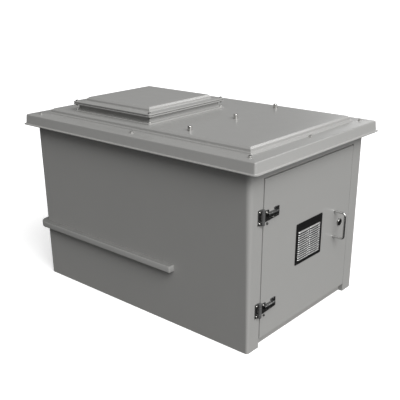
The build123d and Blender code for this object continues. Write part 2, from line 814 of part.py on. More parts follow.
with BuildPart() as vent_screws:
    with front_spots(vent_screw_places, door_proud + vent_plate_t):
        add(pan_screw(vent_screw_r, vent_screw_length, vent_screw_head_r, vent_screw_head_h))
finish(vent_screws, "vent_screws")

# Pull handle: a round bar bent to a D, with two feet
handle_plane = Plane(
    origin=front_plane.from_local_coords((handle_u, handle_v, door_proud)),
    x_dir=front_plane.y_dir,
    z_dir=front_plane.x_dir,
)
with BuildPart() as pull_handle:
    with BuildLine(handle_plane) as bar_path:
        FilletPolyline(
            (-handle_centres / 2, 0),
            (-handle_centres / 2, handle_reach),
            (handle_centres / 2, handle_reach),
            (handle_centres / 2, 0),
            radius=handle_bend_r,
        )
    with BuildSketch(Plane(origin=bar_path.line @ 0, z_dir=bar_path.line % 0)):
        Circle(handle_bar_r)
    sweep()
    with BuildSketch(front_plane.offset(door_proud)):
        with Locations(*handle_places):
            Circle(handle_foot_r)
    extrude(amount=handle_foot_t)
    with BuildSketch(front_plane.offset(door_proud)):
        with Locations(*handle_places):
            Circle(handle_screw_r + thread_gap)
    extrude(amount=handle_screw_bite, mode=Mode.SUBTRACT)
finish(pull_handle, "pull_handle")

handle_screw_length = door_skin + handle_screw_bite - door_edge
with BuildPart() as handle_screws:
    with BuildSketch(front_plane.offset(door_proud - door_skin)):
        with Locations(*handle_places):
            Circle(handle_screw_head_r)
    extrude(amount=-handle_screw_head_h)
    with BuildSketch(front_plane.offset(door_proud - door_skin)):
        with Locations(*handle_places):
            Circle(handle_screw_r)
    extrude(amount=handle_screw_length)
finish(handle_screws, "handle_screws")

# Lock: barrel clamped to the door skin by a nut, turning plug and cam
cam_front_w = frame_back_w - strike_t - cam_gap
with BuildPart() as lock_barrel:
    with BuildSketch(front_plane.offset(door_proud)):
        with Locations((lock_u, lock_v)):
            Circle(lock_face_r)
    extrude(amount=lock_face_t)
    chamfer(lock_barrel.faces().sort_by(Axis.X)[-1].edges(), lock_bevel)
    with BuildSketch(front_plane.offset(door_proud)):
        with Locations((lock_u, lock_v)):
            Circle(lock_body_r)
    extrude(amount=-door_skin - lock_body_back)
    with BuildSketch(front_plane.offset(door_proud + lock_face_t)):
        with Locations((lock_u, lock_v)):
            Circle(plug_r + pin_run_gap)
    extrude(amount=-2 * (door_skin + lock_face_t + lock_body_back), mode=Mode.SUBTRACT)
finish(lock_barrel, "lock_barrel")

with BuildPart() as lock_nut:
    with BuildSketch(front_plane.offset(door_proud - door_skin)):
        with Locations((lock_u, lock_v)):
            RegularPolygon(lock_nut_r, 6)
            Circle(lock_body_r + thread_gap, mode=Mode.SUBTRACT)
    extrude(amount=-lock_nut_t)
finish(lock_nut, "lock_nut")

with BuildPart() as lock_plug:
    with BuildSketch(front_plane.offset(cam_front_w)):
        with Locations((lock_u, lock_v)):
            Circle(plug_r)
            Circle(cam_screw_r + thread_gap, mode=Mode.SUBTRACT)
    extrude(amount=door_proud + lock_face_t - cam_front_w)
    with BuildSketch(front_plane.offset(door_proud + lock_face_t)):
        with Locations((lock_u, lock_v)):
            Circle(plug_r)
    extrude(amount=-2 * key_slot_depth)
    with BuildSketch(front_plane.offset(door_proud + lock_face_t)):
        with Locations((lock_u, lock_v)):
            Rectangle(key_slot_w, key_slot_h)
    extrude(amount=-key_slot_depth, mode=Mode.SUBTRACT)
finish(lock_plug, "lock_plug")

with BuildPart() as lock_cam:
    with BuildSketch(front_plane.offset(cam_front_w)):
        with Locations((lock_u, lock_v + (cam_w - cam_length) / 2)):
            SlotOverall(cam_length, cam_w, rotation=90)
        with Locations((lock_u, lock_v)):
            Circle(cam_screw_r + screw_gap, mode=Mode.SUBTRACT)
    extrude(amount=-cam_t)
finish(lock_cam, "lock_cam")

with BuildPart() as cam_screw:
    with BuildSketch(front_plane.offset(cam_front_w - cam_t)):
        with Locations((lock_u, lock_v)):
            Circle(cam_screw_head_r)
    extrude(amount=-cam_screw_head_h)
    with BuildSketch(front_plane.offset(cam_front_w - cam_t)):
        with Locations((lock_u, lock_v)):
            Circle(cam_screw_r)
    extrude(amount=cam_t + 2 * key_slot_depth)
finish(cam_screw, "cam_screw")

# Strike plate: a wear plate on the back of the frame where the cam passes
strike_u = door_width / 2 - frame_lap + strike_w / 2
with BuildPart() as strike_plate:
    with BuildSketch(front_plane.offset(frame_back_w)):
        with Locations((strike_u, lock_v)):
            Rectangle(strike_w, strike_h)
    extrude(amount=-strike_t)
finish(strike_plate, "strike_plate")

# Mounting board: battens on the back wall, a board and its screws
board_places = [
    (su * board_batten_u, board_bottom + board_screw_margin + row * board_screw_pitch)
    for su in (-1, 1)
    for row in range(board_screw_rows)
]
with BuildPart() as board_battens:
    with BuildSketch(back_plane.offset(-wall)):
        with Locations((0, board_bottom + board_height / 2)):
            with GridLocations(2 * board_batten_u, 1, 2, 1):
                Rectangle(board_batten_w, board_height)
        with Locations(*board_places):
            Circle(board_screw_r + thread_gap, mode=Mode.SUBTRACT)
    extrude(amount=-board_batten_t)
finish(board_battens, "board_battens")

with BuildPart() as back_board:
    with BuildSketch(back_plane.offset(-wall - board_batten_t)):
        with Locations((0, board_bottom + board_height / 2)):
            Rectangle(board_width, board_height)
        with Locations(*board_places):
            Circle(board_screw_r + screw_gap, mode=Mode.SUBTRACT)
    extrude(amount=-board_t)
finish(back_board, "back_board")

with BuildPart() as board_screws:
    with BuildSketch(back_plane.offset(-wall - board_batten_t - board_t)):
        with Locations(*board_places):
            Circle(board_screw_head_r)
    extrude(amount=-board_screw_head_h)
    with BuildSketch(back_plane.offset(-wall - board_batten_t - board_t)):
        with Locations(*board_places):
            Circle(board_screw_r)
    extrude(amount=board_t + board_batten_t - screw_gap)
finish(board_screws, "board_screws")
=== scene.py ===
import bmesh
import bpy
import json
import numpy as np
from math import cos, pi, radians, sin, sqrt
from mathutils import Matrix, Vector


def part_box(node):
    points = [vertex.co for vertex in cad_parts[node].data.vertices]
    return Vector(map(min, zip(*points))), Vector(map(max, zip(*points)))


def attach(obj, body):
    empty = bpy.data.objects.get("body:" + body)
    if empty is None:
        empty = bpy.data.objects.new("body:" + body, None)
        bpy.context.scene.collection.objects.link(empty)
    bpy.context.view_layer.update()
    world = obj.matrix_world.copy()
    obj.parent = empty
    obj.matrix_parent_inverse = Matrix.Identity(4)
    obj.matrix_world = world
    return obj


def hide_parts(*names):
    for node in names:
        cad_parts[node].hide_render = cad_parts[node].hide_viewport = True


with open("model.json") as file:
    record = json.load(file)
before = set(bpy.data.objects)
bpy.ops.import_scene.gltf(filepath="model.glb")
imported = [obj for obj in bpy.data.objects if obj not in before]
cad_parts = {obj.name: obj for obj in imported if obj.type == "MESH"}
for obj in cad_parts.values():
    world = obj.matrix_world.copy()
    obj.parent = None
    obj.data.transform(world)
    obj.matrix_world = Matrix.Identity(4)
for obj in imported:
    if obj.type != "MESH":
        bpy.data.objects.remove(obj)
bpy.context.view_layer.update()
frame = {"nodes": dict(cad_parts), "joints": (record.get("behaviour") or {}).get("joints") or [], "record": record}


# Moulded body and door: glass-fibre laminate with a grey gel coat, left as
# they come from the mould. The gel coat is smooth and softly glossy, with a
# faint orange peel and slow drifts of tone.
class Shade:
    """A shader value in one material; arithmetic on it adds math nodes."""

    def __init__(self, tree, out):
        self.tree = tree
        self.out = out

    def node(self, kind, inputs, output=0, **settings):
        """Add any node: inputs go by socket name or number, and may be values or other shades."""
        made = self.tree.nodes.new(kind)
        for key, value in settings.items():
            setattr(made, key, value)
        for key, value in inputs.items():
            feed(self.tree, made.inputs[key], value)
        return Shade(self.tree, made.outputs[output])

    def maths(self, operation, *values):
        return self.node("ShaderNodeMath", dict(enumerate(values)), operation=operation)

    def __add__(self, other):
        return self.maths("ADD", self, other)

    def __sub__(self, other):
        return self.maths("SUBTRACT", self, other)

    def __rsub__(self, other):
        return self.maths("SUBTRACT", other, self)

    def __mul__(self, other):
        return self.maths("MULTIPLY", self, other)

    def __truediv__(self, other):
        return self.maths("DIVIDE", self, other)

    def __pow__(self, other):
        return self.maths("POWER", self, other)

    __radd__ = __add__

    def held(self):
        """Keep a value between 0 and 1."""
        return self.node("ShaderNodeMath", {0: self, 1: 0.0}, operation="ADD", use_clamp=True)

    def noise(self, scale, detail=3.0, roughness=0.5):
        inputs = {"Vector": self, "Scale": scale, "Detail": detail, "Roughness": roughness}
        return self.node("ShaderNodeTexNoise", inputs)

    def along(self, axis):
        """One coordinate of a vector, by its number."""
        return self.node("ShaderNodeSeparateXYZ", {"Vector": self}, output=axis)

    def stretched(self, scale):
        return self.node("ShaderNodeMapping", {"Vector": self, "Scale": scale})

    def blend(self, low, high):
        """A colour between two, with this value as the share of the second."""
        tint = self.tree.nodes.new("ShaderNodeMix")
        tint.data_type = "RGBA"
        feed(self.tree, tint.inputs["Factor"], self)
        feed(self.tree, tint.inputs[6], low)
        feed(self.tree, tint.inputs[7], high)
        return Shade(self.tree, tint.outputs[2])

    def bump(self, strength, distance):
        return self.node("ShaderNodeBump", {"Height": self, "Strength": strength, "Distance": distance})


def feed(tree, socket, value):
    """Link a shade to a socket, or set the socket's own value."""
    if isinstance(value, Shade):
        tree.links.new(value.out, socket)
    elif isinstance(value, tuple) and len(value) == 3 and socket.type == "RGBA":
        socket.default_value = (*value, 1.0)
    else:
        socket.default_value = value


def material(name, **constants):
    """Make a material and return it with its object coordinates and a way to feed its shader."""
    made = bpy.data.materials.new(name)
    made.use_nodes = True
    tree = made.node_tree
    shader = tree.nodes["Principled BSDF"]
    for key, value in constants.items():
        feed(tree, shader.inputs[key.replace("_", " ")], value)
    place = tree.nodes.new("ShaderNodeTexCoord")

    def finish(**inputs):
        for key, value in inputs.items():
            feed(tree, shader.inputs[key.replace("_", " ")], value)
        return made

    return Shade(tree, place.outputs["Object"]), finish


def dress(slots, look):
    """Give a material to every CAD node whose record slot is one of these."""
    for entry in frame["record"]["subparts"]:
        if entry["material_slot"] in slots:
            node = frame["nodes"][entry["node"]]
            node.data.materials.clear()
            node.data.materials.append(look)


grey_light = (0.360, 0.358, 0.348)
grey_dark = (0.335, 0.333, 0.324)
dust_colour = (0.40, 0.38, 0.35)
# Painted shade: a dark colour laid over the top of a ledge, faded in over a short height
top_shade_colour = (0.10, 0.10, 0.095)
dust_top = 0.10
top_shade_fade = 0.0015
above_all = 9.0


def gel_coat(name, ledge=above_all):
    """Softly glossy gel coat with slow drifts of tone and orange peel.

    A little dust lies low down, and above a given height the colour is darkened as painted shade.
    """
    at, finish = material(name, Coat_Roughness=0.16, Coat_IOR=1.5)
    drift = at.noise(2.2, 4.0)
    cloud = at.noise(19.0, 3.0)
    peel = at.noise(260.0, 2.0)
    height = at.along(2)
    dust = ((dust_top - height) / dust_top).held() * cloud * 0.22
    # Painted shade: the colour darkens above the given height
    painted_top_shade = ((height - ledge) / top_shade_fade).held() * (0.45 + cloud * 0.3)
    clean = (drift * 0.7 + cloud * 0.3).blend(grey_dark, grey_light)
    return finish(
        Base_Color=dust.blend(painted_top_shade.blend(clean, top_shade_colour), dust_colour),
        Roughness=(0.24 + cloud * 0.10 + drift * 0.06 + dust * 0.5).held(),
        Coat_Weight=(0.10 + drift * 0.12).held(),
        Normal=(peel * 0.6 + cloud * 0.4).bump(0.10, 0.0008),
    )


grey_gel = gel_coat("grey_gel_coat")
dress(("grey_grp",), grey_gel)


# Roof lid: one moulding with a thin lip, a sloping skirt, a flat brim, a low
# ledge and a raised platform with a bevelled edge. Its edges are rounded by
# the mould, and a low bead marks the joint across it.
crease_angle = radians(32.0)
least_radius = 0.0012


class Shell:
    """Collects surface patches and closing faces, and makes one object of them."""

    def __init__(self):
        self.points = []
        self.faces = []
        self.count = 0

    def patch(self, grid, wrap_rows=False, wrap_columns=False):
        """Add a grid of points as quads; wrapping joins its last row or column to its first."""
        rows, columns = grid.shape[:2]
        index = np.arange(rows * columns).reshape(rows, columns) + self.count
        if wrap_rows:
            index = np.vstack([index, index[:1]])
        if wrap_columns:
            index = np.hstack([index, index[:, :1]])
        corners = [index[:-1, :-1], index[1:, :-1], index[1:, 1:], index[:-1, 1:]]
        self.faces += np.stack(corners, -1).reshape(-1, 4).tolist()
        self.points.append(grid.reshape(-1, 3))
        self.count += rows * columns
        return index

    def lidded(self, grid):
        """Add rings as a tube whose first and last rings are closed by flat faces."""
        index = self.patch(grid, wrap_columns=True)
        self.faces += [index[0, :-1].tolist(), index[-1, :-1].tolist()]

    def build(self, name, body, slot, look, nodes=()):
        """Make the object, point its faces outwards and put it on its body."""
        mesh = bpy.data.meshes.new(name)
        mesh.from_pydata(np.concatenate(self.points).tolist(), [], self.faces)
        work = bmesh.new()
        work.from_mesh(mesh)
        bmesh.ops.remove_doubles(work, verts=work.verts, dist=1e-6)
        bmesh.ops.recalc_face_normals(work, faces=work.faces)
        work.to_mesh(mesh)
        work.free()
        mesh.shade_smooth()
        mesh.set_sharp_from_angle(angle=crease_angle)
        mesh.materials.append(look)
        piece = bpy.data.objects.new(name, mesh)
        bpy.context.scene.collection.objects.link(piece)
        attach(piece, body)
        if nodes:
            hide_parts(*nodes)
        return piece


def rounded(corners, steps=5):
    """A profile through (a, b, radius) corners, each turned by an arc of that radius."""
    line = []
    flat = [np.array(corner[:2], float) for corner in corners]
    for i, (_, _, radius) in enumerate(corners):
        here = flat[i]
        to_last = flat[i - 1] - here
        to_next = flat[(i + 1) % len(flat)] - here
        if radius == 0.0:
            line.append(here)
            continue
        to_last /= np.linalg.norm(to_last)
        to_next /= np.linalg.norm(to_next)
        half = np.arccos(np.clip(to_last @ to_next, -1, 1)) / 2
        reach = radius / np.tan(half)
        middle = (to_last + to_next) / np.linalg.norm(to_last + to_next)
        centre = here + middle * radius / np.sin(half)
        first = here + to_last * reach - centre
        last = here + to_next * reach - centre
        share = np.linspace(0, 1, steps)[:, None]
        sweep = pi - 2 * half
        swing = np.sin((1 - share) * sweep) * first + np.sin(share * sweep) * last
        line += list(centre + swing / np.sin(sweep))
    return np.array(line)


def rings(centre, half, corner, profile, steps=9):
    """Rounded rectangles carried along an (inset, height) profile.

    Each row is the rectangle moved in by the inset at that height: four
    corner arcs about centres that lie a radius inside the rectangle's sides.
    """
    inset = profile[:, :1]
    turn = np.linspace(0, pi / 2, steps)
    angle = (turn[None] + np.arange(4)[:, None] * pi / 2).ravel()[None]
    side_x = np.repeat([1, -1, -1, 1], steps)[None]
    side_y = np.repeat([1, 1, -1, -1], steps)[None]
    radius = np.maximum(corner - inset, least_radius)
    x = centre[0] + side_x * (half[0] - inset - radius) + radius * np.cos(angle)
    y = centre[1] + side_y * (half[1] - inset - radius) + radius * np.sin(angle)
    z = np.broadcast_to(profile[:, 1:], x.shape)
    return np.stack([x, y, z], -1)


mm = 0.001
lid_low, lid_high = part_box("roof_lid")
lid_half = (lid_high.x, lid_high.y)
lip_z = lid_low.z
roof_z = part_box("roof_washers")[0].z
brim_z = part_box("lid_washers")[0].z
platform_inset = 94 * mm
cap_inset = platform_inset + 60 * mm
ledge_reach = 8 * mm
ledge_h = 7 * mm
bevel_w = 10 * mm
bevel_h = 7 * mm
lip_t = 4 * mm
lid_wall = 5 * mm
lid_corner = 20 * mm
skirt_foot = 9 * mm
skirt_top = 13 * mm
outer_lid = rounded(
    [
        (skirt_foot + lid_wall, lip_z, 0.0),
        (0.0, lip_z, 1.2 * mm),
        (0.0, lip_z + lip_t, 1.4 * mm),
        (skirt_foot, lip_z + lip_t, 3 * mm),
        (skirt_top, brim_z, 5 * mm),
        (platform_inset - ledge_reach, brim_z, 2 * mm),
        (platform_inset - ledge_reach + 2 * mm, brim_z + ledge_h, 2.2 * mm),
        (platform_inset, brim_z + ledge_h + 0.5 * mm, 1.4 * mm),
        (platform_inset + 0.5 * mm, roof_z - bevel_h, 2 * mm),
        (platform_inset + bevel_w, roof_z, 2.5 * mm),
        (cap_inset, roof_z, 0.0),
    ]
)
inner_lid = rounded(
    [
        (skirt_foot + lid_wall, lip_z, 0.0),
        (skirt_top + lid_wall, brim_z - lid_wall, 4 * mm),
        (platform_inset + lid_wall, brim_z - lid_wall, 2 * mm),
        (platform_inset + lid_wall, roof_z - lid_wall, 2 * mm),
        (cap_inset, roof_z - lid_wall, 0.0),
    ]
)
lid = Shell()
lid.lidded(rings((0, 0), lid_half, lid_corner, np.concatenate([inner_lid[::-1], outer_lid[1:]])))
seam_x = 176 * mm
seam_half_w = 2.5 * mm
seam_h = 0.4 * mm
seam_root = 1 * mm
seam_half = lid_half[1] - platform_inset - 14 * mm
seam_across = np.linspace(-1, 1, 9)[:, None]
seam_along = np.linspace(-seam_half, seam_half, 40)[None]
seam_rise = seam_h * (1 - seam_across**2)
seam_rows = np.broadcast_arrays(seam_x + seam_half_w * seam_across, seam_along, roof_z + seam_rise)
seam = np.stack(seam_rows, -1)
seam_foot = seam[::-1] * [1, 1, 0] + [0, 0, roof_z - seam_root]
lid.lidded(np.concatenate([seam, seam_foot]).transpose(1, 0, 2))
lid.build("roof_lid_moulding", "cabinet", "grey_grp", grey_gel, ["roof_lid"])


# Hatch: a moulded curb with a base flange and a top flange, a sealing strip
# and a raised cover that is bolted down on it. The same gel coat covers them.
curb_low, curb_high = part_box("hatch_curb")
cover_low, cover_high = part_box("hatch_cover")
hatch_centre = ((curb_low.x + curb_high.x) / 2, (curb_low.y + curb_high.y) / 2)
flange_half = (curb_high.x - curb_low.x) / 2
flange_t = 5 * mm
hatch_corner = 8 * mm
wall_inset = 18 * mm
wall_slope = 2 * mm
curb_wall = 5 * mm
strip_back = 5 * mm
strip_edge = 4 * mm


def hatch_rings(profile):
    """The hatch's square outline carried along a profile."""
    return rings(hatch_centre, (flange_half, flange_half), hatch_corner, profile)


curb_profile = rounded(
    [
        (wall_inset + curb_wall, curb_low.z, 0.5 * mm),
        (0.0, curb_low.z, 0.6 * mm),
        (0.0, curb_low.z + flange_t, 2 * mm),
        (wall_inset, curb_low.z + flange_t, 3 * mm),
        (wall_inset + wall_slope, curb_high.z - flange_t, 5 * mm),
        (0.0, curb_high.z - flange_t, 1 * mm),
        (0.0, curb_high.z, 1 * mm),
        (wall_inset + curb_wall, curb_high.z, 1 * mm),
    ]
)
curb = Shell()
curb.patch(hatch_rings(curb_profile), wrap_rows=True, wrap_columns=True)
curb.build("hatch_curb_moulding", "cabinet", "grey_grp", grey_gel, ["hatch_curb"])

gasket_low, gasket_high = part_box("hatch_gasket")
strip_profile = np.array(
    [
        (wall_inset + curb_wall, gasket_low.z),
        (strip_back, gasket_low.z),
        (strip_edge, (gasket_low.z + gasket_high.z) / 2),
        (strip_back, gasket_high.z),
        (wall_inset + curb_wall, gasket_high.z),
    ]
)
strip = Shell()
strip.patch(hatch_rings(strip_profile), wrap_rows=True, wrap_columns=True)
strip.build("hatch_gasket_strip", "cabinet", "seal_rubber", grey_gel, ["hatch_gasket"])

block_inset = 43 * mm
block_cap = block_inset + 60 * mm
block_bevel_w = 10 * mm
block_bevel_h = 8 * mm
block_lean = 0.3 * mm
cover_profile = rounded(
    [
        (block_cap, cover_low.z, 0.0),
        (0.0, cover_low.z, 0.8 * mm),
        (0.0, cover_low.z + flange_t, 2 * mm),
        (block_inset, cover_low.z + flange_t, 3 * mm),
        (block_inset + block_lean, cover_high.z - block_bevel_h, 2 * mm),
        (block_inset + block_bevel_w, cover_high.z, 3.5 * mm),
        (block_cap, cover_high.z, 0.0),
    ]
)
cover = Shell()
cover.lidded(hatch_rings(cover_profile))
cover.build("hatch_cover_moulding", "cabinet", "grey_grp", grey_gel, ["hatch_cover"])


# Rubbing band: a square glass-fibre moulding with rounded edges, bonded to
# the two long walls and the back wall, with a square end near the door.
band_low, band_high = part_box("wall_band")
body_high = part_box("body_shell")[1]
hinge = [joint for joint in frame["joints"] if joint["name"] == "door_hinge"][0]
lean = hinge["axis"][0] / hinge["axis"][2]
foot_half = (body_high.x - body_high.z * lean, body_high.y - body_high.z * lean)
band_t = -band_low.x - foot_half[0] - band_high.z * lean
band_middle = (band_low.z + band_high.z) / 2
band_bend = 10 * mm
band_root = 3 * mm
band_edge = 5 * mm
top_shade_depth = 2.5 * mm
half_height = (band_high.z - band_low.z) / 2
bend = band_bend + band_middle * lean
wall_x = foot_half[0] + band_middle * lean
wall_y = foot_half[1] + band_middle * lean
quarter = np.linspace(0, pi / 2, 13)
back_left = np.stack([-wall_x + bend - bend * np.sin(quarter), -wall_y + bend - bend * np.cos(quarter)], -1)
left_out = np.stack([-np.sin(quarter), -np.cos(quarter)], -1)
end_reach = np.array([0.0, 0.6, 1.4, 2.4]) * mm
end_shrink = np.array([2.2, 1.2, 0.4, 0.0]) * mm
path = np.concatenate([np.stack([band_high.x - end_reach, np.full(4, -wall_y)], -1), back_left])
out = np.concatenate([np.tile([0.0, -1.0], (4, 1)), left_out])
shrink = np.concatenate([end_shrink, np.zeros(13)])
path = np.concatenate([path, path[::-1] * [1, -1]])
out = np.concatenate([out, out[::-1] * [1, -1]])
shrink = np.concatenate([shrink, shrink[::-1]])[:, None]
section = rounded(
    [
        (-band_root, -half_height, 0.0),
        (band_t, -half_height, band_edge),
        (band_t, half_height, band_edge),
        (-band_root, half_height, 0.0),
    ],
    steps=7,
)
section_out = section[None, :, 0] - shrink * (section[None, :, 0] > 0)
section_up = section[None, :, 1] * (1 - shrink / half_height)
section_out = section_out + section_up * lean
band = Shell()
band.lidded(
    np.stack(
        [
            path[:, :1] + out[:, :1] * section_out,
            path[:, 1:] + out[:, 1:] * section_out,
            band_middle + section_up,
        ],
        -1,
    )
)
# The band's top few millimetres get painted shade, darker than the rest of its gel coat
band_gel = gel_coat("band_gel_coat", band_high.z - top_shade_depth)
band.build("wall_band_moulding", "cabinet", "band_grp", band_gel, ["wall_band"])


# Bolts, nuts and washers on the lid and the hatch: stainless steel, with
# hexagon heads that are chamfered to a circle on top. The three roof studs
# stand in bright sleeves.
def steel(name, colour, rough, scale):
    """Turned or pressed bright metal with fine drawn marks."""
    at, finish = material(name, Metallic=1.0)
    grain = at.stretched((1.0, 1.0, 0.15)).noise(scale, 4.0, 0.6)
    smudge = at.noise(scale * 0.08, 3.0)
    return finish(
        Base_Color=(grain * 0.5 + smudge * 0.5).blend(tuple(c * 0.82 for c in colour), colour),
        Roughness=(rough - 0.06 + grain * 0.08 + smudge * 0.08).held(),
        Normal=grain.bump(0.12, 0.0002),
    )


stainless = steel("bright_stainless", (0.72, 0.71, 0.69), 0.24, 900.0)
satin_steel = steel("satin_stainless", (0.90, 0.90, 0.88), 0.46, 900.0)
dress(("stainless",), stainless)
dress(("zinc_steel",), steel("zinc_plate", (0.58, 0.58, 0.55), 0.38, 500.0))
# Nuts and bolt tails under the hatch flange and the studs inside the sleeves get a near-black steel: painted shade
# for parts that sit in shadow
shade_dark_steel = steel("shade_dark_steel", (0.07, 0.07, 0.065), 0.45, 500.0)
for name in ("cover_nuts", "cover_bolts", "roof_studs"):
    frame["nodes"][name].data.materials.clear()
    frame["nodes"][name].data.materials.append(shade_dark_steel)


def hex_rings(centre, flat, low, high, chamfer):
    """A hexagon prism whose top and bottom corners are cut back to a circle."""
    angle = np.linspace(0, 2 * pi, 48, endpoint=False)
    sector = (angle + pi / 6) % (pi / 3) - pi / 6
    hexagon = flat / 2 / np.cos(sector)
    circle = flat / 2 * 0.98
    eased = np.minimum(hexagon, circle)
    heights = np.array([low, low + chamfer, high - chamfer, high, high])
    reach = np.stack([eased, hexagon, hexagon, eased, np.full_like(angle, circle / 2)])
    x = centre[0] + reach * np.cos(angle)
    y = centre[1] + reach * np.sin(angle)
    return np.stack([x, y, np.broadcast_to(heights[:, None], x.shape)], -1)


def turned(centre, profile, steps=40):
    """A solid of revolution about a vertical axis from a (radius, height) profile."""
    angle = np.linspace(0, 2 * pi, steps, endpoint=False)[None]
    radius = profile[:, :1]
    x = centre[0] + radius * np.cos(angle)
    y = centre[1] + radius * np.sin(angle)
    return np.stack([x, y, np.broadcast_to(profile[:, 1:], x.shape)], -1)


def washer_profile(inner, outer, low, high):
    """A washer's (radius, height) outline with eased outer edges."""
    edge = (high - low) * 0.3
    below = [(inner, low), (outer - edge, low), (outer, low + edge)]
    above = [(outer, high - edge), (outer - edge, high), (inner, high)]
    return np.array(below + above)


def bolt_head(shell, place, seat, bore, washer_r, washer_t, flat, head_h, chamfer):
    """Add a washer on its seat and a hexagon head on the washer."""
    head_z = seat + washer_t
    shell.lidded(turned(place, washer_profile(bore, washer_r, seat, head_z)))
    shell.lidded(hex_rings(place, flat, head_z, head_z + head_h, chamfer))


lid_bolt = {
    "bore": 3 * mm,
    "washer_r": 7 * mm,
    "washer_t": 1.5 * mm,
    "flat": 11 * mm,
    "head_h": 6 * mm,
    "chamfer": 1 * mm,
}
lid_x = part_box("lid_washers")[1].x - lid_bolt["washer_r"]
lid_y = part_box("lid_washers")[1].y - lid_bolt["washer_r"]
lid_places = [(x, y) for x in (-lid_x, 0, lid_x) for y in (-lid_y, 0, lid_y) if (x, y) != (0, 0)]
lid_heads = Shell()
for place in lid_places:
    bolt_head(lid_heads, place, brim_z, **lid_bolt)
lid_heads.build("lid_bolt_heads", "cabinet", "stainless", satin_steel)

roof_x = (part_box("roof_washers")[0].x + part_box("roof_washers")[1].x) / 2
roof_washer_r = 10 * mm
roof_washer_t = 2 * mm
roof_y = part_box("roof_washers")[1].y - roof_washer_r
roof_places = [(roof_x, y) for y in (-roof_y, 0, roof_y)]
stud_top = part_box("roof_studs")[1].z
sleeve_foot = roof_z + 1.9 * mm
sleeve_r = 8.8 * mm
sleeve_bore = 5.6 * mm
sleeve_top = stud_top + 2.2 * mm
sleeve = np.array(
    [
        (sleeve_r, sleeve_foot),
        (sleeve_r, stud_top + 1 * mm),
        (sleeve_r - 0.8 * mm, sleeve_top),
        (sleeve_bore + 0.8 * mm, sleeve_top),
        (sleeve_bore, stud_top - 3 * mm),
        (sleeve_bore, sleeve_foot),
    ]
)
studs = Shell()
for place in roof_places:
    studs.lidded(turned(place, washer_profile(4 * mm, roof_washer_r, roof_z, roof_z + roof_washer_t)))
    studs.patch(turned(place, sleeve, steps=40), wrap_rows=True, wrap_columns=True)
studs.build("roof_stud_nuts", "cabinet", "stainless", stainless)

hatch_reach = flange_half - 13 * mm
hatch_x, hatch_y = hatch_centre
hatch_places = [(hatch_x + sx * hatch_reach, hatch_y + sy * hatch_reach) for sx in (-1, 1) for sy in (-1, 1)]
hatch_bolt = {
    "bore": 2 * mm,
    "washer_r": 6 * mm,
    "washer_t": 1.2 * mm,
    "flat": 10 * mm,
    "head_h": 4 * mm,
    "chamfer": 0.8 * mm,
}
hatch_heads = Shell()
for place in hatch_places:
    for flange in (cover_low, curb_low):
        bolt_head(hatch_heads, place, flange.z + flange_t, **hatch_bolt)
hatch_heads.build("hatch_bolt_heads", "cabinet", "stainless", satin_steel)


# Hinges: blackened metal with a dull grey barrel. Each has a plate screwed to
# the door frame, a barrel in three knuckles, and a notched arm on the door with
# a raised bar. Bright socket screws hold them, and a round buffer sits below.
out_x = sqrt(1 / (1 + lean**2))
up_x = lean * out_x
pin = Vector(hinge["pos_m"])
pin_u = pin.y
pin_w = (pin.x - foot_half[0]) * out_x - pin.z * up_x
door_face = 2 * mm


def on_front(grid):
    """Carry (across, up, out) points onto the leaning front face."""
    u, v, w = grid[..., 0], grid[..., 1], grid[..., 2]
    return np.stack([foot_half[0] + v * up_x + w * out_x, u, v * out_x - w * up_x], -1)


def round_pin(grid):
    """Carry points turned about a vertical axis at the origin onto the hinge pin."""
    return on_front(np.stack([pin_u + grid[..., 0], grid[..., 2], pin_w + grid[..., 1]], -1))


def black_plate(name, low, high, **constants):
    """Blackened metal: a fine even grain and faint rubbed patches."""
    at, finish = material(name, **constants)
    grain = at.noise(1400.0, 2.0)
    rub = at.noise(45.0, 4.0)
    return finish(
        Base_Color=(rub**2.0).blend((low, low, low), (high, high, high)),
        Roughness=(0.16 + rub * 0.12 + grain * 0.04).held(),
        Normal=grain.bump(0.12, 0.0001),
    )


black_metal = black_plate("black_nickel", 0.20, 0.28, Metallic=1.0)
barrel_metal = black_plate("dull_grey_barrel", 0.09, 0.13)
dress(("hinge_black",), black_metal)
plate_edge = np.array([(0.0, 0.0), (0.0, 0.7), (0.3, 0.93), (0.9, 1.0), (1.4, 1.0)])


def plate(centre, half, corner, low, high):
    """A thin plate on the front face whose outer edge is softly rounded."""
    profile = plate_edge * [mm, high - low] + [0.0, low]
    return on_front(rings(centre, half, corner, profile, steps=5))


screw_dome = np.array([(1.0, 0.0), (1.0, 0.25), (0.8, 0.45), (0.45, 0.5), (0.40, 0.2)])


def front_screw(u, v, w, radius):
    """A low domed screw head with a socket in its middle."""
    return on_front(turned((u, v), screw_dome * radius + [0.0, w], steps=20))


def knuckle(low, high, radius):
    """One barrel knuckle with eased ends."""
    ease = 0.8 * mm
    foot = [(radius - ease, low), (radius, low + ease)]
    head = [(radius, high - ease), (radius - ease, high)]
    return np.array(foot + head)


def strap(outline, low, high, ease):
    """A flat bar of any outline whose outer edge is eased.

    The outline is repeated at rising heights, and near the top each of its
    points moves inwards along the normal of its two neighbours' chord.
    """
    chord = np.roll(outline, -1, 0) - np.roll(outline, 1, 0)
    inwards = np.stack([-chord[:, 1], chord[:, 0]], -1) / np.linalg.norm(chord, axis=1)[:, None]
    turn = np.linspace(0, pi / 2, 5)[:, None, None]
    rim = outline + inwards * ease * (1 - np.cos(turn))
    flat = np.concatenate([outline[None], rim, rim[-1:] + inwards * 0.4 * mm])
    height = np.concatenate([[low], (high - ease + ease * np.sin(turn)).ravel(), [high]])
    return on_front(np.concatenate([flat, np.broadcast_to(height[:, None, None], flat.shape[:2] + (1,))], -1))


